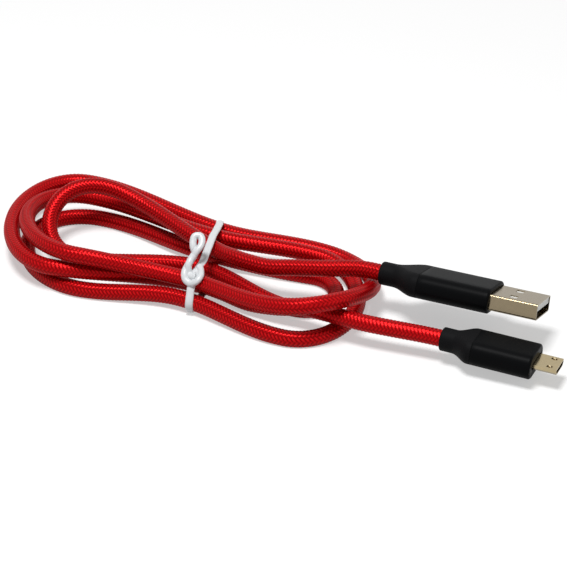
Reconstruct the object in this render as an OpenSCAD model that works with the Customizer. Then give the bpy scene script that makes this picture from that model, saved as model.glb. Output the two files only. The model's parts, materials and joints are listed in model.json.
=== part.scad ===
// Charging cable, USB-A to micro-USB, with a braided cord wound into a flat hank
// that a twist tie holds at the waist. Lengths are in millimetres.
// X runs along the hank towards the plugs, Y across it and Z up from the table.

/* [Cord] */
// Outside diameter of the braided cord
cord_d = 4.6; // [4:0.1:5]
// Diameter of the jacket under the braid, where it enters a plug
core_d = 3.8; // [3:0.1:4]
// Sides of the hank's tube
hank_sides = 6; // [6:1:12]
// Sides of the two leads
lead_sides = 10; // [8:1:12]

/* [USB-A plug] */
// Length of the metal shell in front of the housing
a_shell_len = 13.5; // [11:0.1:16]
// Width of the metal shell
a_shell_w = 12; // [12:0.1:12.5]
// Height of the metal shell
a_shell_h = 4.5; // [4.5:0.1:5]
// Thickness of the shell's sheet
a_sheet = 0.3; // [0.2:0.05:0.4]
// Length of the housing
a_body_len = 20.5; // [16:0.1:26]
// Width of the housing
a_body_w = 15.5; // [14:0.1:18]
// Thickness of the housing
a_body_h = 7; // [6.5:0.1:9]
// Corner radius of the housing
a_body_r = 3.2; // [1:0.1:3.4]
// Length of the boot
a_boot_len = 12.8; // [8:0.1:18]
// Length of the boot's round end
a_rim_len = 3.8; // [3:0.1:7]

/* [Micro-USB plug] */
// Length of the metal shell in front of the housing
m_shell_len = 6.5; // [6:0.01:8]
// Width of the metal shell
m_shell_w = 6.85; // [6.8:0.01:6.9]
// Height of the metal shell
m_shell_h = 1.8; // [1.75:0.01:1.9]
// Thickness of the shell's sheet
m_sheet = 0.25; // [0.2:0.01:0.3]
// Length of the housing
m_body_len = 16.6; // [12:0.1:22]
// Width of the housing
m_body_w = 12.4; // [10:0.1:14]
// Thickness of the housing
m_body_h = 7; // [6.5:0.1:9]
// Corner radius of the housing
m_body_r = 3.2; // [1:0.1:3.4]
// Length of the boot
m_boot_len = 9.8; // [7:0.1:14]
// Length of the boot's round end
m_rim_len = 3.6; // [3:0.1:6]

/* [Boots] */
// Diameter of both boots at their round end
rim_d = 6.5; // [6:0.1:8]

/* [Twist tie] */
// Width of the strip
tie_w = 2.3; // [2:0.1:4]
// Thickness of the strip
tie_t = 0.5; // [0.4:0.05:0.55]

/* [Hidden] */
$fn = 48;
cord_r = cord_d / 2;

// Route of the hank. The cord crosses the waist at these [y, z] places, in the order it takes them.
waist_x = -27;
WAIST = [
    [9.3, 8.4], [4.2, 3.1], [12.6, 3.1], [-13.6, 3.1],
    [17.3, 6.3], [-9.8, 7.4], [26.6, 3.1], [-4.8, 3.1]
];
// Turns between the crossings: first shoulder, reach [x, z], last shoulder, hump.
TURN = [
    [[-58, 22, 13.4], [-74.2, 10.5], [-60, -2, 3.2], 1.2],
    [[6.4, -7.2, 1.84], [14.6, 1.84], [5, 11.4, 1.84], 0],
    [[-66, 24.6, 1.84], [-80, 1.84], [-55, -16, 1.84], 0],
    [[8, -22.8, 1.84], [21.8, 2.1], [4, 18.8, 4.6], 0.4],
    [[-70, 28.6, 6.3], [-80.8, 9.6], [-57, -14.6, 12], 0],
    [[10, -22.4, 12], [25.1, 7.4], [6, 24.6, 2.6], 1.5],
    [[-74, 36, 6.9], [-86.4, 7], [-64, -15.4, 7.1], 0]
];
turns = len(TURN);
arc_steps = 8;
run_steps = 2;
lead_steps = 2;
// Free leads, from the hank's ends to the rims of the two boots.
A_LEAD = [
    [-16, 3.6, 8.7], [-10, 1.6, 9], [-4.4, 0.3, 9.4], [2.6, 0.4, 10.4],
    [12.6, 1.4, 11.4], [21.3, 3.3, 11.8], [27.6, 3.1, 11.8]
];
M_LEAD = [
    [-16, -6.4, 2.8], [-7, -9.8, 2.9], [2, -12, 4.4], [10, -13, 6.2], [18, -15, 7],
    [27.8, -16.5, 7], [35.8, -16.8, 6.9], [44.5, -16.9, 6.8], [50.5, -17.1, 6.6]
];
last_way = [1, -0.06, -0.02];
// Puts the middle of the whole object over the origin.
shift = [2.696, -6.303, 0];

// Attitude of the plugs where they lie: roll, nose-down pitch and yaw.
a_turn = [-14.9, 0.2, -5.3];
m_turn = [-2, 1.9, -4.7];
a_rim = A_LEAD[len(A_LEAD) - 1];
m_rim = M_LEAD[len(M_LEAD) - 1];
a_way = [cos(a_turn[1]) * cos(a_turn[2]), cos(a_turn[1]) * sin(a_turn[2]), -sin(a_turn[1])];
m_way = [cos(m_turn[1]) * cos(m_turn[2]), cos(m_turn[1]) * sin(m_turn[2]), -sin(m_turn[1])];

// Stations along each plug, from the rim of its boot.
seat = cord_d;
bore_gap = 0.03;
a_body_x = a_boot_len;
a_front_x = a_body_x + a_body_len;
a_nose_x = a_front_x + a_shell_len;
a_tail_x = a_front_x - 4.1;
a_mould_x = a_body_x + 2;
a_mould_end = a_front_x - 1.3;
a_core_end = a_mould_x + 1.2;
a_wire_end = a_tail_x - 2.7;
a_blade_z = 0.11;
m_body_x = m_boot_len;
m_front_x = m_body_x + m_body_len;
m_nose_x = m_front_x + m_shell_len;
m_tail_x = m_front_x - 2.9;
m_mould_x = m_body_x + 1.6;
m_mould_end = m_front_x - 1;
m_core_end = m_mould_x + 0.8;
m_block_x = m_front_x + 2;
m_wire_end = m_tail_x - 1.9;
m_strip_x = m_wire_end - 3.1;
m_pitch = 0.65;
m_beam_z = -0.19;
m_beam_t = 0.14;
m_beam_w = 0.26;
m_gap = 0.05;

RED = [0.72, 0.03, 0.05];
BLACK = [0.05, 0.05, 0.055];
WHITE = [0.92, 0.92, 0.9];
GOLD = [0.85, 0.66, 0.3];

// Vectors and curves
function unit(v) = v / norm(v);
function mix(a, b, t) = a + (b - a) * t;
function blend3(p, a, q, b, t) =
    (2 * t * t * t - 3 * t * t + 1) * p + (t * t * t - 2 * t * t + t) * a
    + (3 * t * t - 2 * t * t * t) * q + (t * t * t - t * t) * b;

// One turn of the hank is half an ellipse between its shoulders.
function turn_mid(i) = (TURN[i][0] + TURN[i][2]) / 2;
function turn_reach(i) = [TURN[i][1][0], turn_mid(i)[1], TURN[i][1][1]] - turn_mid(i);
function turn_at(i, a) =
    turn_mid(i) + (TURN[i][0] - turn_mid(i)) * cos(a) + turn_reach(i) * sin(a)
    + [0, 0, TURN[i][3] * sin(2 * a)];
function turn_in(i) = unit(turn_reach(i) + [0, 0, 2 * TURN[i][3]]);
function turn_out(i) = unit([0, 0, 2 * TURN[i][3]] - turn_reach(i));

// At the waist the cord heads from the last turn's shoulder to the next one's.
function waist_at(i) = [waist_x, WAIST[i][0], WAIST[i][1]];
function waist_way(i) =
    i == turns ? unit(last_way) : unit(TURN[i][0] - (i == 0 ? A_LEAD[0] : TURN[i - 1][2]));
function run(p, a, q, b, n, first) =
    let (l = norm(q - p)) [for (k = [first:n]) blend3(p, a * l, q, b * l, k / n)];
function half_loop(i) = concat(
    run(waist_at(i), waist_way(i), TURN[i][0], turn_in(i), run_steps, 1),
    [for (k = [1:arc_steps]) turn_at(i, 180 * k / arc_steps)],
    run(TURN[i][2], turn_out(i), waist_at(i + 1), waist_way(i + 1), run_steps, 1)
);
hank_start = waist_at(0) - cord_d * waist_way(0);
hank_end = waist_at(turns) + cord_d * waist_way(turns);
hank_path = concat(
    [hank_start, waist_at(0)],
    [for (i = [0:turns - 1]) each half_loop(i)],
    [hank_end]
);

// A lead is a smooth curve through its points with a given heading at both ends.
function lead_path(start, way, points, end_way, over) =
    let (p = concat([start], points), n = len(p))
    concat(
        [start],
        [
            for (i = [0:n - 2])
            let (
                l = norm(p[i + 1] - p[i]),
                a = i == 0 ? way * l : (p[i + 1] - p[i - 1]) / 2,
                b = i == n - 2 ? end_way * l : (p[i + 2] - p[i]) / 2
            )
            for (k = [1:lead_steps]) blend3(p[i], a, p[i + 1], b, k / lead_steps)
        ],
        [p[n - 1] + end_way * over]
    );
a_lead_path = lead_path(hank_start, -waist_way(0), A_LEAD, a_way, seat);
m_lead_path = lead_path(hank_end, waist_way(turns), M_LEAD, m_way, seat);

// Least gap between strands, measured along the tube's own centre line.
function spread(path, n) = [
    for (i = [0:len(path) - 2]) for (k = [0:n - 1]) mix(path[i], path[i + 1], k / n)
];
function travel(p) = [
    for (i = 0, s = 0; i < len(p); s = s + (i + 1 < len(p) ? norm(p[i + 1] - p[i]) : 0), i = i + 1) s
];
gap_points = spread(hank_path, 3);
gap_travel = travel(gap_points);
hank_gap = min([
    for (i = [0:len(gap_points) - 1]) for (j = [i + 1:1:len(gap_points) - 1])
    if (gap_travel[j] - gap_travel[i] > 16) norm(gap_points[j] - gap_points[i])
]) - cord_d;
echo(hank_gap = hank_gap);
echo(cord_length = travel(hank_path)[len(hank_path) - 1] + travel(a_lead_path)[len(a_lead_path) - 1]
    + travel(m_lead_path)[len(m_lead_path) - 1]);

// A round tube swept along a path, with a corner of each ring straight down.
function heading(p, i, first, last) =
    i == 0 ? first : i == len(p) - 1 ? last : unit(unit(p[i + 1] - p[i]) + unit(p[i] - p[i - 1]));
function ring(c, w, r, n) =
    let (u = unit(cross([0, 0, 1], w)), v = cross(w, u))
    [for (k = [0:n - 1]) c + r * (sin(360 * k / n) * u - cos(360 * k / n) * v)];

module tube(path, r, n, first, last) {
    count = len(path);
    points = [for (i = [0:count - 1]) each ring(path[i], heading(path, i, first, last), r, n)];
    sides = [
        for (i = [0:count - 2]) for (k = [0:n - 1])
        let (a = i * n + k, b = i * n + (k + 1) % n)
        each [[a, b, a + n], [b, b + n, a + n]]
    ];
    near = [for (k = [1:n - 2]) [0, k + 1, k]];
    far = [for (k = [1:n - 2]) [(count - 1) * n, (count - 1) * n + k, (count - 1) * n + k + 1]];
    polyhedron(points, concat(sides, near, far));
}

// Shared shapes
module round_rect(w, h, r) {
    square([w, h - 2 * r], center = true);
    square([w - 2 * r, h], center = true);
    for (x = [-1, 1], y = [-1, 1]) {
        translate([x * (w / 2 - r), y * (h / 2 - r)]) circle(r);
    }
}

module along_x(x0, x1) {
    translate([x0, 0, 0]) rotate([90, 0, 90]) linear_extrude(x1 - x0) children();
}

module bar(x0, x1, y, w, z0, z1) {
    translate([x0, y - w / 2, z0]) cube([x1 - x0, w, z1 - z0]);
}

module rod(p, q, d) {
    v = q - p;
    translate(p) rotate([0, acos(v[2] / norm(v)), atan2(v[1], v[0])]) cylinder(d = d, h = norm(v), $fn = 20);
}

// A wire has an insulated run from p to q and a bare end from q to its contact at e.
module wire(p, q, e, d, bare, grow) {
    rod(p, q, d + 2 * grow);
    rod(q - 0.2 * unit(q - p), e, bare + 2 * grow);
}

module at_usb_a() {
    translate(shift + a_rim) rotate(a_turn) children();
}

module at_micro_usb() {
    translate(shift + m_rim) rotate(m_turn) children();
}

// A boot swells from a round rim to the housing's own section.
module boot(length, rim_len, w, h, r) {
    start = rim_len / length;
    steps = [start, mix(start, 1, 0.2), mix(start, 1, 0.4), mix(start, 1, 0.6), mix(start, 1, 0.8), 1];
    difference() {
        union() {
            along_x(0, rim_len) circle(d = rim_d);
            for (i = [0:len(steps) - 2]) {
                hull() {
                    boot_slice(steps[i], start, length, w, h, r);
                    boot_slice(steps[i + 1], start, length, w, h, r);
                }
            }
        }
        along_x(-1, seat) circle(r = cord_r + bore_gap);
        along_x(-1, length + 1) circle(d = core_d + 2 * bore_gap);
    }
}

module boot_slice(t, start, length, w, h, r) {
    s = (t - start) / (1 - start);
    e = min(1, 1.18 * s);
    k = e * e * (3 - 2 * e);
    x = t == 1 ? length - 0.02 : t * length;
    along_x(x, x + 0.02) round_rect(mix(rim_d, w, k), mix(rim_d, h, k), mix(rim_d / 2 - 0.01, r, k), $fn = 32);
}

// A housing is one long section with its front edge eased.
module body_shell(x0, x1, w, h, r) {
    along_x(x0, x1 - 0.8) round_rect(w, h, r);
    hull() {
        along_x(x1 - 0.8, x1 - 0.78) round_rect(w, h, r, $fn = 32);
        along_x(x1 - 0.3, x1 - 0.28) round_rect(w - 0.4, h - 0.4, r - 0.2, $fn = 32);
        along_x(x1 - 0.02, x1) round_rect(w - 1.2, h - 1.2, r - 0.6, $fn = 32);
    }
}

// Cord
module cord_hank() {
    color(RED) difference() {
        translate(shift) tube(hank_path, cord_r, hank_sides, waist_way(0), waist_way(turns));
        translate([-150, -150, -10]) cube([300, 300, 10]);
    }
}

module cord_lead_usb_a() {
    color(RED) translate(shift) tube(a_lead_path, cord_r, lead_sides, -waist_way(0), a_way);
}

module cord_lead_micro_usb() {
    color(RED) translate(shift) tube(m_lead_path, cord_r, lead_sides, waist_way(turns), m_way);
}

// USB-A plug
A_Y = [3.5, 1, -1, -3.5];
A_START = [[0.75, 0.75], [0.75, -0.75], [-0.75, 0.75], [-0.75, -0.75]];

module usb_a_section(inset) {
    round_rect(a_shell_w - 2 * inset, a_shell_h - 2 * inset, 0.6 - inset);
}

module usb_a_boot() {
    color(BLACK) at_usb_a() boot(a_boot_len, a_rim_len, a_body_w, a_body_h, a_body_r);
}

module usb_a_housing() {
    color(BLACK) at_usb_a() difference() {
        body_shell(a_body_x, a_front_x, a_body_w, a_body_h, a_body_r);
        usb_a_mould_block();
        along_x(a_mould_end - 1, a_front_x + 1) usb_a_section(0);
        along_x(a_body_x - 1, a_mould_x + 1) circle(d = core_d + 2 * bore_gap);
    }
}

module usb_a_mould_block() {
    along_x(a_mould_x, a_mould_end) square([12.4, 5.4], center = true);
}

module usb_a_inner_mould() {
    color([0.8, 0.8, 0.78]) at_usb_a() difference() {
        usb_a_mould_block();
        along_x(a_tail_x, a_mould_end + 1) usb_a_section(0);
        along_x(a_mould_x - 1, a_core_end) circle(d = core_d + 2 * bore_gap);
        for (i = [0:3]) {
            usb_a_wire(i, bore_gap);
            bar(a_wire_end - 0.1, a_tail_x + 0.1, A_Y[i], 1, a_blade_z - 0.2, a_blade_z);
        }
    }
}

module usb_a_shell() {
    color([0.74, 0.68, 0.6]) at_usb_a() difference() {
        along_x(a_tail_x, a_nose_x) usb_a_section(0);
        along_x(a_tail_x - 1, a_nose_x + 1) usb_a_section(a_sheet);
        for (y = [-3, 3]) {
            bar(a_nose_x - 8.8, a_nose_x - 6.6, y, 2.2, -a_shell_h, a_shell_h);
        }
    }
}

module usb_a_insulator() {
    w = a_shell_w - 2 * a_sheet - 0.6;
    top = a_shell_h / 2 - a_sheet;
    color(WHITE) at_usb_a() difference() {
        union() {
            bar(a_tail_x, a_front_x + 2.7, 0, w, -top, top);
            bar(a_front_x + 2.6, a_nose_x - 0.2, 0, w, a_blade_z, top);
        }
        for (i = [0:3]) {
            bar(a_tail_x - 1, a_front_x + 3, A_Y[i], 1, a_blade_z - 0.2, a_blade_z);
        }
    }
}

module usb_a_contact(i) {
    reach = abs(A_Y[i]) > 2 ? 1.2 : 2.2;
    color(GOLD) at_usb_a() bar(a_wire_end, a_nose_x - reach, A_Y[i], 1, a_blade_z - 0.2, a_blade_z);
}

module usb_a_contact_1() usb_a_contact(0);
module usb_a_contact_2() usb_a_contact(1);
module usb_a_contact_3() usb_a_contact(2);
module usb_a_contact_4() usb_a_contact(3);

module usb_a_cable_core() {
    color([0.2, 0.2, 0.21]) at_usb_a() along_x(seat, a_core_end) circle(d = core_d);
}

module usb_a_wire(i, grow) {
    wire(
        [a_core_end + 0.2, A_START[i][0], A_START[i][1]], [a_wire_end - 2.5, 0.9 * A_Y[i], a_blade_z - 0.1],
        [a_wire_end - 0.05, A_Y[i], a_blade_z - 0.1], 1, 0.4, grow
    );
}

module usb_a_wire_red() color([0.8, 0.08, 0.06]) at_usb_a() usb_a_wire(0, 0);
module usb_a_wire_white() color(WHITE) at_usb_a() usb_a_wire(1, 0);
module usb_a_wire_green() color([0.1, 0.5, 0.16]) at_usb_a() usb_a_wire(2, 0);
module usb_a_wire_black() color(BLACK) at_usb_a() usb_a_wire(3, 0);

// Micro-USB plug
M_Y = [for (i = [2:-1:-2]) i * m_pitch];
M_USED = [0, 1, 2, 4];
M_START = [[0.7, -0.7], [0.7, 0.7], [-0.7, -0.7], [-0.7, 0.7]];
M_SPREAD = [[1.8, 0], [0.75, 0.5], [-0.2, -0.5], [-1.5, 0]];
m_latch_y = 2.2;

// The shell is wide on top, and its lower corners are cut away.
module micro_usb_section(inset) {
    w = m_shell_w / 2;
    h = m_shell_h / 2;
    slope = unit([0.9, -0.875]);
    low = w - 0.875 - (inset - inset * -slope[1]) / slope[0];
    knee = (inset - inset * slope[0]) / -slope[1];
    polygon([
        [inset - w, h - inset], [w - inset, h - inset], [w - inset, knee],
        [low, inset - h], [-low, inset - h], [inset - w, knee]
    ]);
}

module micro_usb_boot() {
    color(BLACK) at_micro_usb() boot(m_boot_len, m_rim_len, m_body_w, m_body_h, m_body_r);
}

module micro_usb_housing() {
    color(BLACK) at_micro_usb() difference() {
        body_shell(m_body_x, m_front_x, m_body_w, m_body_h, m_body_r);
        micro_usb_mould_block();
        along_x(m_mould_end - 1, m_front_x + 1) micro_usb_section(0);
        along_x(m_body_x - 1, m_mould_x + 1) circle(d = core_d + 2 * bore_gap);
    }
}

module micro_usb_mould_block() {
    along_x(m_mould_x, m_mould_end) square([9.2, 5.2], center = true);
}

module micro_usb_inner_mould() {
    color([0.8, 0.8, 0.78]) at_micro_usb() difference() {
        micro_usb_mould_block();
        along_x(m_tail_x, m_mould_end + 1) micro_usb_section(0);
        along_x(m_mould_x - 1, m_core_end) circle(d = core_d + 2 * bore_gap);
        for (i = [0:3]) {
            micro_usb_wire(i, bore_gap);
        }
        for (i = [0:4]) {
            micro_usb_tail_bar(i, m_wire_end - 0.1, m_tail_x + 0.1);
        }
    }
}

module micro_usb_shell() {
    color(GOLD) at_micro_usb() difference() {
        along_x(m_tail_x, m_nose_x) micro_usb_section(0);
        along_x(m_tail_x - 1, m_nose_x + 1) micro_usb_section(m_sheet);
        for (y = [-1, 1]) {
            bar(m_nose_x - 3, m_nose_x - 1.4, y * m_latch_y, 0.9, 0, m_shell_h);
        }
    }
}

module micro_usb_insulator() {
    color([0.07, 0.07, 0.075]) at_micro_usb() difference() {
        union() {
            along_x(m_tail_x, m_block_x) micro_usb_section(m_sheet);
            bar(m_block_x - 0.1, m_nose_x - 0.5, 0, 4, m_sheet - m_shell_h / 2, -0.3);
        }
        for (i = [0:4]) {
            micro_usb_tail_bar(i, m_tail_x - 1, m_block_x);
            bar(m_block_x, m_nose_x, M_Y[i], 0.4, -m_shell_h, 0);
        }
    }
}

module micro_usb_tail_bar(i, x0, x1) {
    bar(x0, x1, M_Y[i], m_beam_w, m_beam_z - m_beam_t / 2, m_beam_z + m_beam_t / 2);
}

module micro_usb_tail(i) {
    color(GOLD) at_micro_usb() micro_usb_tail_bar(i, m_wire_end, m_block_x);
}

module micro_usb_tail_1() micro_usb_tail(0);
module micro_usb_tail_2() micro_usb_tail(1);
module micro_usb_tail_3() micro_usb_tail(2);
module micro_usb_tail_4() micro_usb_tail(3);
module micro_usb_tail_5() micro_usb_tail(4);

// A spring contact bends down into its slot as the plug goes in.
module micro_usb_contact(i) {
    tip = m_nose_x - 1.1;
    color(GOLD) at_micro_usb() {
        micro_usb_tail_bar(i, m_block_x + m_gap, tip);
        translate([tip - 0.3, M_Y[i] - m_beam_w / 2, m_beam_z + 0.02]) rotate([-90, 0, 0])
            cylinder(r = 0.17, h = m_beam_w, $fn = 24);
    }
}

module micro_usb_contact_1() micro_usb_contact(0);
module micro_usb_contact_2() micro_usb_contact(1);
module micro_usb_contact_3() micro_usb_contact(2);
module micro_usb_contact_4() micro_usb_contact(3);
module micro_usb_contact_5() micro_usb_contact(4);

// A latch is a spring arm whose hook stands out of the shell's wide face.
module micro_usb_latch(y) {
    x0 = m_block_x + m_gap;
    x1 = m_nose_x - 1.6;
    color(GOLD) at_micro_usb() translate([0, y + 0.3, 0]) rotate([90, 0, 0]) linear_extrude(0.6)
        polygon([
            [x0, 0.3], [x1, 0.3], [x1, 0.52], [x1 - 0.45, 1.12], [x1 - 0.8, 1.15],
            [x1 - 0.95, 0.48], [x0, 0.48]
        ]);
}

module micro_usb_latch_left() micro_usb_latch(m_latch_y);
module micro_usb_latch_right() micro_usb_latch(-m_latch_y);

module micro_usb_cable_core() {
    color([0.2, 0.2, 0.21]) at_micro_usb() along_x(seat, m_core_end) circle(d = core_d);
}

module micro_usb_wire(i, grow) {
    wire(
        [m_core_end + 0.2, M_START[i][0], M_START[i][1]], [m_strip_x, M_SPREAD[i][0], M_SPREAD[i][1]],
        [m_wire_end - 0.05, M_Y[M_USED[i]], m_beam_z], 0.8, 0.3, grow
    );
}

module micro_usb_wire_red() color([0.8, 0.08, 0.06]) at_micro_usb() micro_usb_wire(0, 0);
module micro_usb_wire_white() color(WHITE) at_micro_usb() micro_usb_wire(1, 0);
module micro_usb_wire_green() color([0.1, 0.5, 0.16]) at_micro_usb() micro_usb_wire(2, 0);
module micro_usb_wire_black() color(BLACK) at_micro_usb() micro_usb_wire(3, 0);

// Twist tie
TIE = [[-15, 3.1], [-11.2, 7.85], [9.2, 8.5], [17.4, 6.5], [27.2, 3.1]];
tie_in = cord_r + 0.3;
tie_at = [-25.1, 6, 0];
tie_turn = 8;
knot_at = [-24.6, -11.3, 10.4];
knot_turn = [45, 0, 16.4];

// The strands' outline at the waist, grown by r on every side.
module tie_outline(r) {
    hull() {
        for (p = TIE) {
            translate(p) circle(r, $fn = 40);
        }
    }
}

module tie_ring(r0, r1, w) {
    translate(shift + tie_at) rotate([0, 0, tie_turn]) translate([-w / 2, -tie_at[1], 0])
        along_x(0, w) difference() {
            tie_outline(r1);
            tie_outline(r0);
        }
}

module tie_wire_space() {
    tie_ring(tie_in + 0.2, tie_in + tie_t - 0.06, 0.6);
}

// The tie's ends cross at a knot, twist round each other and close in a small eye.
// These points lie in the twist's own plane: across, along, and towards its face.
TWIST = [
    [4.3, 5.6, -4.2], [3.9, 3.2, -1.9], [3.5, 1.5, -0.3], [4.2, -0.6, 0.5], [3.5, -2.8, 0.9],
    [1.5, -3.5, 0.9], [-0.2, -2.2, 0.7], [-0.5, 0.7, 0.3], [0.8, 3.5, 0.3], [2.3, 5.3, 0.5],
    [3.6, 7.2, 0.3], [4.1, 9.3, 0], [3.5, 10.9, 0], [1.9, 10.9, 0], [1.2, 9.3, 0],
    [1.3, 7.3, 0.1], [2.4, 5.3, -0.8], [2.8, 3.2, -1], [2.3, 1.2, -0.5], [1.9, -0.7, 0.7],
    [2.9, -1.5, 1.4], [2.1, -2.1, 1.7]
];
twist_path = lead_path(TWIST[0], unit(TWIST[1] - TWIST[0]), [for (i = [1:len(TWIST) - 1]) TWIST[i]],
    unit(TWIST[len(TWIST) - 1] - TWIST[len(TWIST) - 2]), 0.1);

module twist_tie_twist() {
    color(WHITE) translate(shift + knot_at) rotate([0, 0, knot_turn[2]]) rotate([knot_turn[0], 0, 0])
        tube(twist_path, 0.5, 8, unit(TWIST[1] - TWIST[0]),
            unit(TWIST[len(TWIST) - 1] - TWIST[len(TWIST) - 2]));
}

module twist_tie_strip() {
    color(WHITE) difference() {
        tie_ring(tie_in, tie_in + tie_t, tie_w);
        tie_wire_space();
    }
}

module twist_tie_wire() {
    color([0.6, 0.6, 0.62]) tie_wire_space();
}

cord_hank();
cord_lead_usb_a();
cord_lead_micro_usb();
usb_a_boot();
usb_a_housing();
usb_a_inner_mould();
usb_a_shell();
usb_a_insulator();
usb_a_contact_1();
usb_a_contact_2();
usb_a_contact_3();
usb_a_contact_4();
usb_a_cable_core();
usb_a_wire_red();
usb_a_wire_white();
usb_a_wire_green();
usb_a_wire_black();
micro_usb_boot();
micro_usb_housing();
micro_usb_inner_mould();
micro_usb_shell();
micro_usb_insulator();
micro_usb_contact_1();
micro_usb_contact_2();
micro_usb_contact_3();
micro_usb_contact_4();
micro_usb_contact_5();
micro_usb_tail_1();
micro_usb_tail_2();
micro_usb_tail_3();
micro_usb_tail_4();
micro_usb_tail_5();
micro_usb_latch_left();
micro_usb_latch_right();
micro_usb_cable_core();
micro_usb_wire_red();
micro_usb_wire_white();
micro_usb_wire_green();
micro_usb_wire_black();
twist_tie_strip();
twist_tie_twist();
twist_tie_wire();
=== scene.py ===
# %% [markdown]
# # A braided charging cable
# The object is a phone cable: a red woven cord wound into a flat hank, a white twist tie round its
# waist, and two black moulded plugs with metal tips. The rigid model comes in first, because every
# visible piece is fitted to it and moves with it.

import json
import math

import bpy
import numpy as np
from mathutils import Matrix, Vector


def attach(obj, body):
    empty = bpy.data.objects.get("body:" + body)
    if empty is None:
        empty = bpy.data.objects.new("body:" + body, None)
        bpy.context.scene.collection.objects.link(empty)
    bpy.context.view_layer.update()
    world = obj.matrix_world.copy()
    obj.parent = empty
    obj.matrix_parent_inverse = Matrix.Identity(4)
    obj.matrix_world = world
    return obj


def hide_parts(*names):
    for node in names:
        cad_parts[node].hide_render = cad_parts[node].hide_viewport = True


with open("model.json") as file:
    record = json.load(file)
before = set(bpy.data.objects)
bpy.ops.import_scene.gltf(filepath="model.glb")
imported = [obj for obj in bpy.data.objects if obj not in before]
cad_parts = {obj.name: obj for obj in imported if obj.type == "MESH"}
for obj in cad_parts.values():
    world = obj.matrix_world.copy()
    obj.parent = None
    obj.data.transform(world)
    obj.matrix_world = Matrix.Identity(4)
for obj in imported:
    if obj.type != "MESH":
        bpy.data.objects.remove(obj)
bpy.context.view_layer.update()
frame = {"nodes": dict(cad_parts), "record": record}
nodes = frame["nodes"]
scene = bpy.context.scene
print("rigid pieces:", len(nodes))

# %% [markdown]
# ## The camera
# The photograph looks down at about thirty degrees from the front and a little from the right, with a
# long lens, so near and far loops have almost the same size. A camera can be placed by hand or by
# angles. Angles and a distance are easier to read and to correct, so the place is worked out from them.

# %% Place the camera
MM = 0.001
SHIFT = np.array([2.696, -6.303, 0.0])
LOOK_AT = np.array([0.0, 0.0, 5.0]) + SHIFT
AZIMUTH = math.radians(18.5)
ELEVATION = math.radians(30.0)
DISTANCE = 650.0
PICTURE_WIDTH = 567
PIXELS_PER_MM = 3.57
SEEN_WIDTH = PICTURE_WIDTH / PIXELS_PER_MM
SENSOR_WIDTH = 36.0
back = np.array([
    math.sin(AZIMUTH) * math.cos(ELEVATION),
    -math.cos(AZIMUTH) * math.cos(ELEVATION),
    math.sin(ELEVATION),
])
camera_data = bpy.data.cameras.new("photo_camera")
camera_data.sensor_fit = "HORIZONTAL"
camera_data.sensor_width = SENSOR_WIDTH
camera_data.lens = SENSOR_WIDTH * DISTANCE / SEEN_WIDTH
camera_data.clip_start = 0.01
camera = bpy.data.objects.new("photo_camera", camera_data)
scene.collection.objects.link(camera)
camera.location = Vector((LOOK_AT + DISTANCE * back) * MM)
camera.rotation_euler = Vector(back).to_track_quat("Z", "Y").to_euler()
scene.camera = camera
print("lens:", round(camera_data.lens, 1), "mm")

# %% [markdown]
# ## The cord's route
# A hank is wound by hand: the cord crosses the waist, turns round at one end, crosses again and turns at
# the other. So the route is given as places: where each pass crosses the waist, and where each turn has
# its shoulders and its far reach. Half ellipses make the turns and smooth cubics join them, which is
# close to how a springy cord lies.

# %% Places along the route
CORD_D = 4.6
WAIST_X = -27.0
# Each pass over the waist: across and up.
WAIST = [
    (9.3, 8.4), (4.2, 3.1), (12.6, 3.1), (-13.6, 3.1),
    (17.3, 6.3), (-9.8, 7.4), (26.6, 3.1), (-4.8, 3.1),
]
# Each turn: first shoulder, reach along and up, last shoulder, hump.
TURNS = [
    ((-58, 22, 13.4), (-74.2, 10.5), (-60, -2, 3.2), 1.2),
    ((6.4, -7.2, 1.84), (14.6, 1.84), (5, 11.4, 1.84), 0.0),
    ((-66, 24.6, 1.84), (-80, 1.84), (-55, -16, 1.84), 0.0),
    ((8, -22.8, 1.84), (21.8, 2.1), (4, 18.8, 4.6), 0.4),
    ((-70, 28.6, 6.3), (-80.8, 9.6), (-57, -14.6, 12), 0.0),
    ((10, -22.4, 12), (25.1, 7.4), (6, 24.6, 2.6), 1.5),
    ((-74, 36, 6.9), (-86.4, 7), (-64, -15.4, 7.1), 0.0),
]
# The free leads run from the hank to the rims of the two boots.
LEAD_A = [
    (-16, 3.6, 8.7), (-10, 1.6, 9), (-4.4, 0.3, 9.4), (2.6, 0.4, 10.4),
    (12.6, 1.4, 11.4), (21.3, 3.3, 11.8), (27.6, 3.1, 11.8),
]
LEAD_M = [
    (-16, -6.4, 2.8), (-7, -9.8, 2.9), (2, -12, 4.4), (10, -13, 6.2), (18, -15, 7),
    (27.8, -16.5, 7), (35.8, -16.8, 6.9), (44.5, -16.9, 6.8), (50.5, -17.1, 6.6),
]
LAST_WAY = (1, -0.06, -0.02)
TURN_A = (-14.9, 0.2, -5.3)
TURN_M = (-2.0, 1.9, -4.7)


def plug_matrix(rim, turn):
    """Where a plug lies: its boot's rim, then roll, nose-down pitch and yaw."""
    roll, pitch, yaw = [math.radians(a) for a in turn]
    place = Matrix.Translation(Vector((np.array(rim) + SHIFT) * MM))
    return (
        place @ Matrix.Rotation(yaw, 4, "Z")
        @ Matrix.Rotation(pitch, 4, "Y") @ Matrix.Rotation(roll, 4, "X")
    )


AT_A = plug_matrix(LEAD_A[-1], TURN_A)
AT_M = plug_matrix(LEAD_M[-1], TURN_M)
way_a = np.array(AT_A.to_3x3() @ Vector((1, 0, 0)))
way_m = np.array(AT_M.to_3x3() @ Vector((1, 0, 0)))
print("turns:", len(TURNS), "passes at the waist:", len(WAIST))

# %% Run the route through its places
LEAD_STEPS = 16
ARC_STEPS = 64
RUN_STEPS = 40


def unit(v):
    return np.array(v, float) / np.linalg.norm(v)


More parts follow.
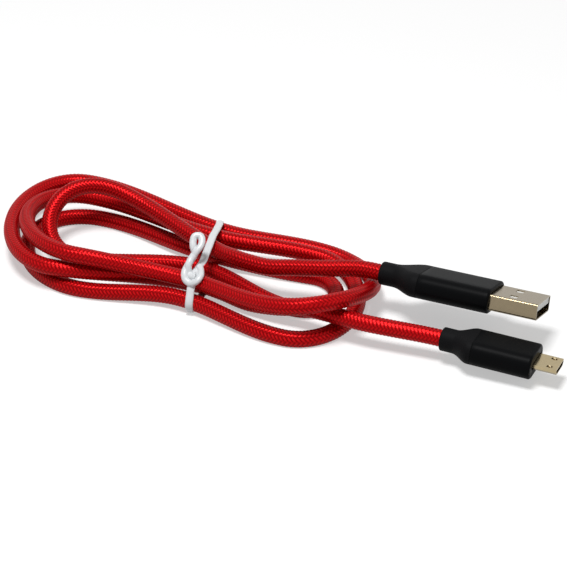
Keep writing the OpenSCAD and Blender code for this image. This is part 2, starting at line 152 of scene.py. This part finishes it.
def cubic(p, a, q, b, n):
    """n points from p to q, leaving along a and arriving along b."""
    t = np.linspace(0, 1, n + 1)[1:, None]
    return (
        (2 * t**3 - 3 * t**2 + 1) * p + (t**3 - 2 * t**2 + t) * a
        + (3 * t**2 - 2 * t**3) * q + (t**3 - t**2) * b
    )


def lead(start, way, places, end_way, over):
    """A free lead: smooth through its places, with a given heading at both ends."""
    p = [np.array(start, float)] + [np.array(x, float) for x in places]
    out = [p[0][None]]
    for i in range(len(p) - 1):
        span = np.linalg.norm(p[i + 1] - p[i])
        a = way * span if i == 0 else (p[i + 1] - p[i - 1]) / 2
        b = end_way * span if i == len(p) - 2 else (p[i + 2] - p[i]) / 2
        out.append(cubic(p[i], a, p[i + 1], b, LEAD_STEPS))
    out.append((p[-1] + end_way * over)[None])
    return np.vstack(out)


crossings = [np.array((WAIST_X, y, z)) for y, z in WAIST]
shoulders = [(np.array(s, float), np.array(e, float)) for s, _, e, _ in TURNS]
headings = []
for i in range(len(crossings)):
    if i == len(TURNS):
        headings.append(unit(LAST_WAY))
    else:
        before = np.array(LEAD_A[0], float) if i == 0 else shoulders[i - 1][1]
        headings.append(unit(shoulders[i][0] - before))

hank = [crossings[0][None]]
for i, (_, (reach_x, reach_z), _, hump) in enumerate(TURNS):
    s, e = shoulders[i]
    middle = (s + e) / 2
    reach = np.array((reach_x, middle[1], reach_z)) - middle
    lift = np.array((0, 0, 2 * hump))
    angle = np.linspace(0, math.pi, ARC_STEPS + 1)[1:, None]
    arc = (
        middle + (s - middle) * np.cos(angle) + reach * np.sin(angle)
        + np.array((0, 0, hump)) * np.sin(2 * angle)
    )
    there = np.linalg.norm(s - crossings[i])
    home = np.linalg.norm(crossings[i + 1] - e)
    hank.append(cubic(crossings[i], headings[i] * there, s, unit(reach + lift) * there, RUN_STEPS))
    hank.append(arc)
    hank.append(cubic(e, unit(lift - reach) * home, crossings[i + 1], headings[i + 1] * home, RUN_STEPS))
hank = np.vstack(hank)

hank_start = crossings[0] - CORD_D * headings[0]
hank_end = crossings[-1] + CORD_D * headings[-1]
lead_a = lead(hank_start, -headings[0], LEAD_A, way_a, CORD_D)
lead_m = lead(hank_end, headings[-1], LEAD_M, way_m, CORD_D)
route = np.vstack([lead_a[::-1], hank, lead_m]) + SHIFT


def even(path, step):
    """The same path with its points an even step apart."""
    gone = np.concatenate([[0], np.cumsum(np.linalg.norm(np.diff(path, axis=0), axis=1))])
    count = int(round(gone[-1] / step))
    at = np.linspace(0, gone[-1], count + 1)
    return np.stack([np.interp(at, gone, path[:, k]) for k in range(3)], 1), at


BRAID_STEP = 1.06
RINGS_PER_STEP = 4
line, along = even(route, BRAID_STEP / RINGS_PER_STEP)
print("cord length:", round(along[-1], 1), "mm in", len(line), "rings")

# %% [markdown]
# ## The braid
# The cord's skin is woven from two sets of flat yarn bundles that spiral in opposite ways and pass over
# two and under two. It could be a bump texture, but real relief catches light at the edges and survives
# export. So the tube is a dense grid, and each point is raised by how far it is onto the crown of the
# bundle that lies on top there.

# %% Frames that do not twist


def frames_along(path):
    """Two directions across the path at each point, carried along without twisting."""
    way = np.gradient(path, axis=0)
    way /= np.linalg.norm(way, axis=1)[:, None]
    side = np.cross((0, 0, 1), way[0])
    side /= np.linalg.norm(side)
    sides = [side]
    for i in range(1, len(path)):
        side = sides[-1] - way[i] * np.dot(sides[-1], way[i])
        sides.append(side / np.linalg.norm(side))
    sides = np.array(sides)
    return way, sides, np.cross(way, sides)


def grid_mesh(name, rows, closed_rows=False):
    """A mesh from rows of points, each row a closed ring."""
    count, around, _ = rows.shape
    index = np.arange(count * around).reshape(count, around)
    nxt = np.roll(index, -1, axis=1)
    if closed_rows:
        upper, upper_next = np.roll(index, -1, axis=0), np.roll(nxt, -1, axis=0)
        quads = np.stack([index, nxt, upper_next, upper], -1).reshape(-1, 4)
    else:
        quads = np.stack([index[:-1], nxt[:-1], nxt[1:], index[1:]], -1).reshape(-1, 4)
    faces = quads.tolist()
    if not closed_rows:
        faces.append(index[0][::-1].tolist())
        faces.append(index[-1].tolist())
    mesh = bpy.data.meshes.new(name)
    mesh.from_pydata((rows.reshape(-1, 3) * MM).tolist(), [], faces)
    mesh.polygons.foreach_set("use_smooth", [True] * len(mesh.polygons))
    mesh.update()
    obj = bpy.data.objects.new(name, mesh)
    scene.collection.objects.link(obj)
    return obj


# %% Weave the cord
BUNDLES = 12
AROUND = 48
RELIEF = 0.24
SUNK = 0.65
LOWEST = 0.02
turn = np.linspace(0, 2 * math.pi, AROUND, endpoint=False)[None, :]
right = BUNDLES * turn / (2 * math.pi) + along[:, None] / BRAID_STEP
left = BUNDLES * turn / (2 * math.pi) - along[:, None] / BRAID_STEP
right_no, left_no = np.floor(right), np.floor(left)
column = np.mod(right_no + left_no, 4)
on_top = column < 2
across = np.where(on_top, right - right_no, left - left_no)
along_float = np.where(on_top, left - left_no + column, right - right_no + column - 2) / 2
crown = np.sin(math.pi * across) ** 0.8 * (0.45 + 0.55 * np.sin(math.pi * along_float) ** 0.6)
radius = CORD_D / 2 - RELIEF * SUNK + RELIEF * crown
_, side, up = frames_along(line)
rings = line[:, None, :] + radius[..., None] * (
    np.cos(turn)[..., None] * side[:, None, :] + np.sin(turn)[..., None] * up[:, None, :]
)
rings[..., 2] = np.maximum(rings[..., 2], LOWEST)
cord = grid_mesh("braided_cord", rings)
shade = cord.data.attributes.new("crown", "FLOAT", "POINT")
shade.data.foreach_set("value", crown.reshape(-1).astype(np.float32))
print("cord:", len(cord.data.polygons), "faces")

# %% [markdown]
# ## The woven red finish
# Nylon yarn is glossy. Its colour carries painted shade, darker down in the grooves between the bundles
# and lighter on their crowns. The crown height that shaped the weave also drives this painted shade,
# so shade and shape always agree.

# %% Helpers for finishes


def new_finish(name, roughness, metallic=0.0):
    """A material with its shader node ready to take inputs."""
    finish = bpy.data.materials.new(name)
    finish.use_nodes = True
    shader = finish.node_tree.nodes["Principled BSDF"]
    shader.inputs["Roughness"].default_value = roughness
    shader.inputs["Metallic"].default_value = metallic
    return finish, finish.node_tree, shader


def add(tree, kind, **values):
    """A node of that kind with some of its inputs set."""
    node = tree.nodes.new(kind)
    for key, value in values.items():
        node.inputs[key.replace("_", " ")].default_value = value
    return node


def ramp(tree, source, stops):
    """A colour ramp fed by a socket."""
    node = tree.nodes.new("ShaderNodeValToRGB")
    tree.links.new(source, node.inputs["Fac"])
    band = node.color_ramp
    band.elements[0].position, band.elements[0].color = stops[0][0], (*stops[0][1], 1)
    band.elements[1].position, band.elements[1].color = stops[-1][0], (*stops[-1][1], 1)
    for place, colour in stops[1:-1]:
        band.elements.new(place).color = (*colour, 1)
    return node


def noise(tree, scale, detail=2.0):
    """Noise laid on by the object's own coordinates."""
    where = tree.nodes.new("ShaderNodeTexCoord")
    node = add(tree, "ShaderNodeTexNoise", Scale=scale, Detail=detail)
    tree.links.new(where.outputs["Object"], node.inputs["Vector"])
    return node


def rough_surface(tree, shader, scale, strength, distance):
    """Fine relief too small to model."""
    grain = noise(tree, scale)
    bump = add(tree, "ShaderNodeBump", Strength=strength, Distance=distance)
    tree.links.new(grain.outputs["Fac"], bump.inputs["Height"])
    tree.links.new(bump.outputs["Normal"], shader.inputs["Normal"])


# %% Red braid
red_braid, tree, shader = new_finish("woven_red_nylon", 0.28, metallic=0.32)
height = tree.nodes.new("ShaderNodeAttribute")
height.attribute_name = "crown"
# Painted shade: the base colour darkens down in the grooves between the bundles and lightens on their
# crowns.
painted_groove_shade = ramp(tree, height.outputs["Fac"], [
    (0.0, (0.08, 0.0, 0.0)), (0.4, (0.28, 0.0015, 0.003)), (1.0, (0.68, 0.008, 0.011)),
])
tree.links.new(painted_groove_shade.outputs["Color"], shader.inputs["Base Color"])
rough_surface(tree, shader, 2600.0, 0.25, 0.00006)
shader.inputs["Specular IOR Level"].default_value = 0.15
shader.inputs["Specular Tint"].default_value = (1.0, 0.25, 0.22, 1)
cord.data.materials.append(red_braid)
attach(cord, "cable")
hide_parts("cord_hank", "cord_lead_usb_a", "cord_lead_micro_usb")
print("finish:", red_braid.name)

# %% [markdown]
# ## Boots and housings
# Each plug is moulded in soft black plastic: a round-ended boot swells into a housing with a rounded
# section. A loft suits both, since every cross-section is a rounded rectangle and only its width,
# height and corner change. The edges are eased inside the loft, so no bevel is needed.

# %% Loft a rounded section
CORNERS = ((1, 1), (-1, 1), (-1, -1), (1, -1))
CORNER_STEPS = 10
EDGE_STEPS = 5
LEAST_FLAT = 0.005


def pointing(degrees):
    """A direction in the section's plane."""
    a = math.radians(degrees)
    return np.array((math.cos(a), math.sin(a)))


def section(w, h, r):
    """Points round a rounded rectangle, the same number for any size."""
    r = min(r, w / 2 - LEAST_FLAT, h / 2 - LEAST_FLAT)
    inner = np.array((w / 2 - r, h / 2 - r))
    points = []
    for k, corner in enumerate(CORNERS):
        for a in np.linspace(k * 90, k * 90 + 90, CORNER_STEPS + 1):
            points.append(inner * corner + r * pointing(a))
        start = points[-1]
        target = inner * CORNERS[(k + 1) % 4] + r * pointing(k * 90 + 90)
        for t in np.linspace(0, 1, EDGE_STEPS + 1)[1:-1]:
            points.append(start + (target - start) * t)
    return np.array(points)


def loft(name, stations, matrix, finish, node):
    """A closed moulding through stations of x, width, height and corner radius, out and back inside."""
    rows = []
    for x, w, h, r in stations:
        flat = section(w, h, r)
        rows.append(np.column_stack([np.full(len(flat), x), flat]))
    obj = grid_mesh(name, np.array(rows), closed_rows=True)
    obj.data.transform(matrix)
    obj.data.update()
    obj.data.materials.append(finish)
    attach(obj, "cable")
    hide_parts(node)
    print(name, "from", len(stations), "stations")
    return obj


RIM_D = 6.5
RIM_EASE = 0.45
NOSE_EASE = 0.6
SEAM = 0.16
SWELL_STEPS = 24
SWELL_PACE = 1.18
SEAT = CORD_D
CORE_BORE = 3.86
MOULD_CORNER = 0.1
# The boot's mouth, from inside to its face: depth, width, height and corner radius.
MOUTH = [
    (2.5, 4.7, 4.7, 2.35), (0.2, 4.7, 4.7, 2.35),
    (0.05, 4.85, 4.85, 2.42), (0.0, 5.1, 5.1, 2.55),
]


def boot_stations(length, rim_len, w, h, r):
    """Mouth, eased rim, straight neck, the swell to the housing, then the bore and the cord's seat."""
    out = list(MOUTH)
    for a in np.linspace(0, 90, 6):
        d = RIM_D - 2 * RIM_EASE * (1 - math.sin(math.radians(a)))
        out.append((RIM_EASE * (1 - math.cos(math.radians(a))), d, d, d / 2))
    out.append((rim_len * 0.6, RIM_D, RIM_D, RIM_D / 2))
    for t in np.linspace(0, 1, SWELL_STEPS + 1):
        e = min(1.0, SWELL_PACE * t)
        k = e * e * (3 - 2 * e)
        x = rim_len + t * (length - rim_len)
        wide = RIM_D + (w - RIM_D) * k
        tall = RIM_D + (h - RIM_D) * k
        out.append((x - (0.1 if t == 1 else 0), wide, tall, RIM_D / 2 + (r - RIM_D / 2) * k))
    out.append((length, w - SEAM, h - SEAM, r - SEAM / 2))
    out.append((length, CORE_BORE, CORE_BORE, CORE_BORE / 2))
    out.append((SEAT, CORE_BORE, CORE_BORE, CORE_BORE / 2))
    out.append((SEAT, *MOUTH[0][1:]))
    return out


def housing_stations(x0, x1, w, h, r, hole, mould):
    """Eased edges, the hole for the metal tip, the space for the inner mould and the core's bore."""
    out = [
        (x0, w - SEAM, h - SEAM, r - SEAM / 2),
        (x0 + 0.05, w - 0.05, h - 0.05, r - 0.02),
        (x0 + 0.15, w, h, r),
    ]
    for t in np.linspace(0.08, 0.92, 7):
        out.append((x0 + (x1 - x0) * t, w, h, r))
    for a in np.linspace(0, 90, 8):
        cut = NOSE_EASE * (1 - math.cos(math.radians(a)))
        x = x1 - NOSE_EASE + NOSE_EASE * math.sin(math.radians(a))
        out.append((x, w - 2 * cut, h - 2 * cut, r - 0.8 * cut))
    wide, tall, corner = hole
    out.append((x1, wide + 0.25, tall + 0.25, corner + 0.1))
    out.append((x1 - 0.12, wide, tall, corner))
    rear, front, block_w, block_h = mould
    out.append((front, wide, tall, corner))
    out.append((front, block_w, block_h, MOULD_CORNER))
    out.append((rear, block_w, block_h, MOULD_CORNER))
    out.append((rear, CORE_BORE, CORE_BORE, CORE_BORE / 2))
    out.append((x0, CORE_BORE, CORE_BORE, CORE_BORE / 2))
    return out


# %% Black mouldings
black_boot, tree, shader = new_finish("matt_black_boot", 0.58)
shader.inputs["Base Color"].default_value = (0.005, 0.005, 0.0055, 1)
shader.inputs["Specular IOR Level"].default_value = 0.05
rough_surface(tree, shader, 3000.0, 0.2, 0.00004)
black_housing, tree, shader = new_finish("satin_black_housing", 0.4)
shader.inputs["Base Color"].default_value = (0.003, 0.0032, 0.0036, 1)
shader.inputs["Specular IOR Level"].default_value = 0.03
rough_surface(tree, shader, 2200.0, 0.08, 0.00003)

# Lengths from the rim: the boot's end, the neck's end and the housing's front. Sections and holes for
# the metal tips: width, height and corner radius. Spaces for the inner moulds: rear, front, width and
# height.
A_BOOT, A_RIM, A_FRONT = 12.8, 3.8, 33.3
A_SECTION, A_HOLE = (15.5, 7.0, 3.2), (12.1, 4.6, 0.65)
A_MOULD = (14.75, 32.05, 12.5, 5.5)
M_BOOT, M_RIM, M_FRONT = 9.8, 3.6, 26.4
M_SECTION, M_HOLE = (12.4, 7.0, 3.2), (6.95, 1.9, 0.3)
M_MOULD = (11.35, 25.45, 9.3, 5.3)

loft(
    "usb_a_boot_skin", boot_stations(A_BOOT, A_RIM, *A_SECTION), AT_A,
    black_boot, "usb_a_boot",
)
loft(
    "usb_a_housing_skin", housing_stations(A_BOOT, A_FRONT, *A_SECTION, A_HOLE, A_MOULD), AT_A,
    black_housing, "usb_a_housing",
)
boot_m = loft(
    "micro_usb_boot_skin", boot_stations(M_BOOT, M_RIM, *M_SECTION), AT_M,
    black_boot, "micro_usb_boot",
)
body_m = loft(
    "micro_usb_housing_skin", housing_stations(M_BOOT, M_FRONT, *M_SECTION, M_HOLE, M_MOULD), AT_M,
    black_housing, "micro_usb_housing",
)

# %% [markdown]
# ## Metal tips, contacts and inner pieces
# The tips are the rigid model's own pieces, because their sizes are standard and their windows, slots
# and hooks must stay where the sockets expect them. They only get finishes, and a fine bevel so that
# folded edges catch the light.

# %% Finishes of the small pieces


def plated(name, colour, roughness):
    """Plated sheet metal with faint drawing marks."""
    finish, tree, shader = new_finish(name, roughness, metallic=1.0)
    marks = noise(tree, 900.0, 4.0)
    tone = ramp(tree, marks.outputs["Fac"], [
        (0.3, tuple(0.93 * c for c in colour)), (0.7, colour),
    ])
    tree.links.new(tone.outputs["Color"], shader.inputs["Base Color"])
    rough_surface(tree, shader, 1800.0, 0.05, 0.00002)
    return finish


def moulded(name, colour, roughness):
    """Plain moulded plastic with a faint grain."""
    finish, tree, shader = new_finish(name, roughness)
    marks = noise(tree, 700.0)
    tone = ramp(tree, marks.outputs["Fac"], [(0.3, tuple(0.95 * c for c in colour)), (0.7, colour)])
    tree.links.new(tone.outputs["Color"], shader.inputs["Base Color"])
    rough_surface(tree, shader, 1500.0, 0.08, 0.00003)
    return finish


FINISHES = {
    "shell_champagne": plated("champagne_plating", (0.265, 0.215, 0.14), 0.2),
    "shell_gold": plated("gold_plating", (0.44, 0.36, 0.215), 0.2),
    "contact_gold": plated("contact_plating", (0.86, 0.64, 0.26), 0.2),
    "spring_steel": plated("latch_plating", (0.78, 0.64, 0.4), 0.26),
    "tie_steel": plated("tie_wire_steel", (0.55, 0.55, 0.57), 0.35),
    "insulator_white": moulded("white_insulator", (0.82, 0.82, 0.79), 0.4),
    "insulator_black": moulded("black_insulator", (0.015, 0.015, 0.016), 0.45),
    "mould_natural": moulded("natural_inner_mould", (0.7, 0.7, 0.68), 0.5),
    "core_dark": moulded("dark_core_jacket", (0.06, 0.06, 0.065), 0.5),
    "wire_red": moulded("red_wire_cover", (0.55, 0.02, 0.02), 0.45),
    "wire_white": moulded("white_wire_cover", (0.8, 0.8, 0.78), 0.45),
    "wire_green": moulded("green_wire_cover", (0.03, 0.3, 0.07), 0.45),
    "wire_black": moulded("black_wire_cover", (0.015, 0.015, 0.015), 0.45),
}
for part in frame["record"]["subparts"]:
    if part["material_slot"] in FINISHES:
        nodes[part["node"]].data.materials.clear()
        nodes[part["node"]].data.materials.append(FINISHES[part["material_slot"]])
print("finishes on rigid pieces:", len(FINISHES))

# %% Ease the folded metal edges
for name, size in (("usb_a_shell", 0.09), ("micro_usb_shell", 0.07), ("usb_a_insulator", 0.06)):
    bevel = nodes[name].modifiers.new("eased_edges", "BEVEL")
    bevel.width = size * MM
    bevel.segments = 3
    bevel.limit_method = "ANGLE"
    bevel.angle_limit = math.radians(35)
print("bevels added")

# %% [markdown]
# ## The twist tie
# A flat white strip with a steel wire inside goes round all the strands, then its ends are twisted into
# a knot and a small eye. The strip is swept round the outline of the bundle, leaning a little sideways
# on its way, and the ends are swept as thick rounded strands along a path of their own.

# %% Strip round the bundle
TIE = np.array([(-15, 3.1), (-11.2, 7.85), (9.2, 8.5), (17.4, 6.5), (27.2, 3.1)])
TIE_AT = np.array((-25.1, 6.0, 0.0))
TIE_TURN = math.radians(8.0)
TIE_W, TIE_T = 2.3, 0.5
TIE_GAP = 0.12
TIE_STATIONS = 130
# How far the strip leans along the cord, at places across the bundle.
SWAY_AT = (-15, -11, -5, 9, 17, 23, 30)
SWAY = (0.0, 0.4, 1.4, 1.2, 0.8, 0.1, -1.1)
# The rounded strip's section: across in half widths, out in thicknesses.
PROFILE = [
    (-1.0, 0.25), (-0.85, 0.75), (-0.35, 1.0), (0.35, 1.0),
    (0.85, 0.75), (1.0, 0.25), (0.9, 0.0), (-0.9, 0.0),
]


def bundle_outline(r):
    """Points and outward directions round the strands at the waist."""
    points, outs = [], []
    count = len(TIE)
    for i in range(count):
        p, before, after = TIE[i], TIE[i - 1], TIE[(i + 1) % count]
        a0 = math.atan2(*(p - before)[::-1]) + math.pi / 2
        a1 = math.atan2(*(after - p)[::-1]) + math.pi / 2
        while a1 > a0:
            a1 -= 2 * math.pi
        for a in np.linspace(a0, a1, 8):
            outs.append((math.cos(a), math.sin(a)))
            points.append(p + r * np.array(outs[-1]))
    return np.array(points), np.array(outs)


def spaced(values, along, count):
    """Values round a closed loop, read again at even steps along it."""
    loop = np.vstack([values, values[:1]])
    steps = np.linspace(0, along[-1], count, endpoint=False)
    return np.column_stack([np.interp(steps, along, column) for column in loop.T])


corners, corner_outs = bundle_outline(CORD_D / 2 + TIE_GAP)
sides = np.linalg.norm(np.diff(np.vstack([corners, corners[:1]]), axis=0), axis=1)
round_loop = np.concatenate([[0], np.cumsum(sides)])
outline, outs = (spaced(values, round_loop, TIE_STATIONS) for values in (corners, corner_outs))
rows = []
for p, out in zip(outline, outs):
    lean = np.interp(p[0], SWAY_AT, SWAY)
    ring = []
    for w, t in PROFILE:
        yz = p + out * t * TIE_T
        ring.append((w * TIE_W / 2 + lean, yz[0] - TIE_AT[1], yz[1]))
    rows.append(ring)
strip = grid_mesh("tie_strip_skin", np.array(rows), closed_rows=True)
strip.data.transform(
    Matrix.Translation(Vector((SHIFT + TIE_AT) * MM)) @ Matrix.Rotation(TIE_TURN, 4, "Z")
)
white_tie, tree, shader = new_finish("white_tie_plastic", 0.3)
shader.inputs["Base Color"].default_value = (0.74, 0.76, 0.78, 1)
shader.inputs["Subsurface Weight"].default_value = 0.1
shader.inputs["Subsurface Radius"].default_value = (0.0006, 0.0006, 0.0006)
rough_surface(tree, shader, 1200.0, 0.06, 0.00003)
strip.data.materials.append(white_tie)
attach(strip, "cable")
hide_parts("twist_tie_strip", "twist_tie_wire")
print("strip:", len(outline), "stations")

# %% Twisted ends
KNOT_AT = np.array((-24.6, -11.3, 10.4))
KNOT_LEAN, KNOT_YAW = math.radians(45), math.radians(16.4)
STRAND_WIDE, STRAND_THICK = 1.0, 0.8
# The ends cross at a knot, twist round each other and close in an eye, in the knot's own plane:
# across, along, and towards its face.
TWIST = [
    (3.4, 2.2, -1.6), (3.9, 0.3, 0.2), (4.0, -1.6, 1.8), (3.0, -3.2, 2.1), (1.2, -3.5, 1.1),
    (-0.2, -2.4, 0.9), (-0.5, -0.4, 0.8), (0.2, 1.8, 0.1), (1.3, 3.8, -0.2), (2.4, 5.6, 0.5),
    (3.7, 7.4, 0.5), (4.0, 9.0, 0.2), (3.6, 10.3, 0), (2.7, 10.6, 0), (1.8, 10.2, 0),
    (1.5, 8.9, 0), (1.6, 7.2, 0), (2.0, 5.6, -0.4), (1.2, 3.6, 0.9), (0.5, 1.6, 1.1),
    (0.7, -0.4, 0.5), (1.6, -1.6, 1.1), (2.6, -1.4, 1.5),
]
first_way = unit(np.subtract(TWIST[1], TWIST[0]))
last_way = unit(np.subtract(TWIST[-1], TWIST[-2]))
curl, _ = even(lead(TWIST[0], first_way, TWIST[1:], last_way, 0.1), 0.25)
_, side, up = frames_along(curl)
turn = np.linspace(0, 2 * math.pi, 16, endpoint=False)[None, :, None]
rings = (
    curl[:, None, :] + STRAND_WIDE * np.cos(turn) * side[:, None, :]
    + STRAND_THICK * np.sin(turn) * up[:, None, :]
)
twist = grid_mesh("tie_twist_skin", rings)
twist.data.transform(
    Matrix.Translation(Vector((SHIFT + KNOT_AT) * MM))
    @ Matrix.Rotation(KNOT_YAW, 4, "Z") @ Matrix.Rotation(KNOT_LEAN, 4, "X")
)
twist.data.materials.append(white_tie)
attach(twist, "cable")
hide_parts("twist_tie_twist")
print("twist:", len(curl), "rings")

# %% [markdown]

# %% [markdown]
# ## Floor and light
# The photograph is a cut-out on white, lit softly from above. A pale floor keeps a faint shadow, and
# large lamps give the long soft highlights on the plugs and along the cord.

# %% Floor and backdrop
FAR = 3.0
floor_mesh = bpy.data.meshes.new("pale_floor")
floor_corners = [(FAR * x, FAR * y, 0) for x, y in ((-1, -1), (1, -1), (1, 1), (-1, 1))]
floor_mesh.from_pydata(floor_corners, [], [(0, 1, 2, 3)])
floor = bpy.data.objects.new("pale_floor", floor_mesh)
scene.collection.objects.link(floor)
pale, tree, shader = new_finish("pale_paper", 0.9)
shader.inputs["Base Color"].default_value = (0.6, 0.6, 0.6, 1)
shader.inputs["Specular IOR Level"].default_value = 0.0
shader.inputs["Emission Color"].default_value = (1.0, 1.0, 1.0, 1)


def seen_directly(tree):
    """One for the camera's rays and for those that metal mirrors, nought for soft light."""
    rays = tree.nodes.new("ShaderNodeLightPath")
    total = rays.outputs["Is Camera Ray"]
    for name in ("Is Glossy Ray", "Is Transmission Ray"):
        both = tree.nodes.new("ShaderNodeMath")
        both.operation = "MAXIMUM"
        tree.links.new(total, both.inputs[0])
        tree.links.new(rays.outputs[name], both.inputs[1])
        total = both.outputs[0]
    return total


glow = tree.nodes.new("ShaderNodeMath")
glow.operation = "MULTIPLY"
glow.inputs[1].default_value = 0.46
tree.links.new(seen_directly(tree), glow.inputs[0])
tree.links.new(glow.outputs[0], shader.inputs["Emission Strength"])
floor_mesh.materials.append(pale)

world = bpy.data.worlds.new("soft_studio")
scene.world = world
world.use_nodes = True
background = world.node_tree.nodes["Background"]
background.inputs["Color"].default_value = (1.0, 1.0, 1.0, 1)
background.inputs["Strength"].default_value = 0.18
backdrop = add(world.node_tree, "ShaderNodeBackground", Strength=1.0)
backdrop.inputs["Color"].default_value = (1.0, 1.0, 1.0, 1)
either = world.node_tree.nodes.new("ShaderNodeMixShader")
world.node_tree.links.new(seen_directly(world.node_tree), either.inputs["Fac"])
world.node_tree.links.new(background.outputs["Background"], either.inputs[1])
world.node_tree.links.new(backdrop.outputs["Background"], either.inputs[2])
world_out = world.node_tree.nodes["World Output"]
world.node_tree.links.new(either.outputs["Shader"], world_out.inputs["Surface"])
print("floor and world ready")

# %% Lamps


def soft_lamp(name, place, aim, size, power):
    """A large area lamp at a place, turned towards a point, in metres."""
    data = bpy.data.lights.new(name, "AREA")
    data.shape = "RECTANGLE"
    data.size, data.size_y = size
    data.energy = power
    lamp = bpy.data.objects.new(name, data)
    scene.collection.objects.link(lamp)
    lamp.location = place
    lamp.rotation_euler = (Vector(place) - Vector(aim)).to_track_quat("Z", "Y").to_euler()


soft_lamp("top_box", (-0.08, -0.24, 1.0), (0, 0, 0), (0.3, 0.3), 9.0)
soft_lamp("side_box", (0.8, -0.1, 0.4), (0, 0, 0), (0.4, 0.3), 0.4)
scene.view_settings.view_transform = "Standard"
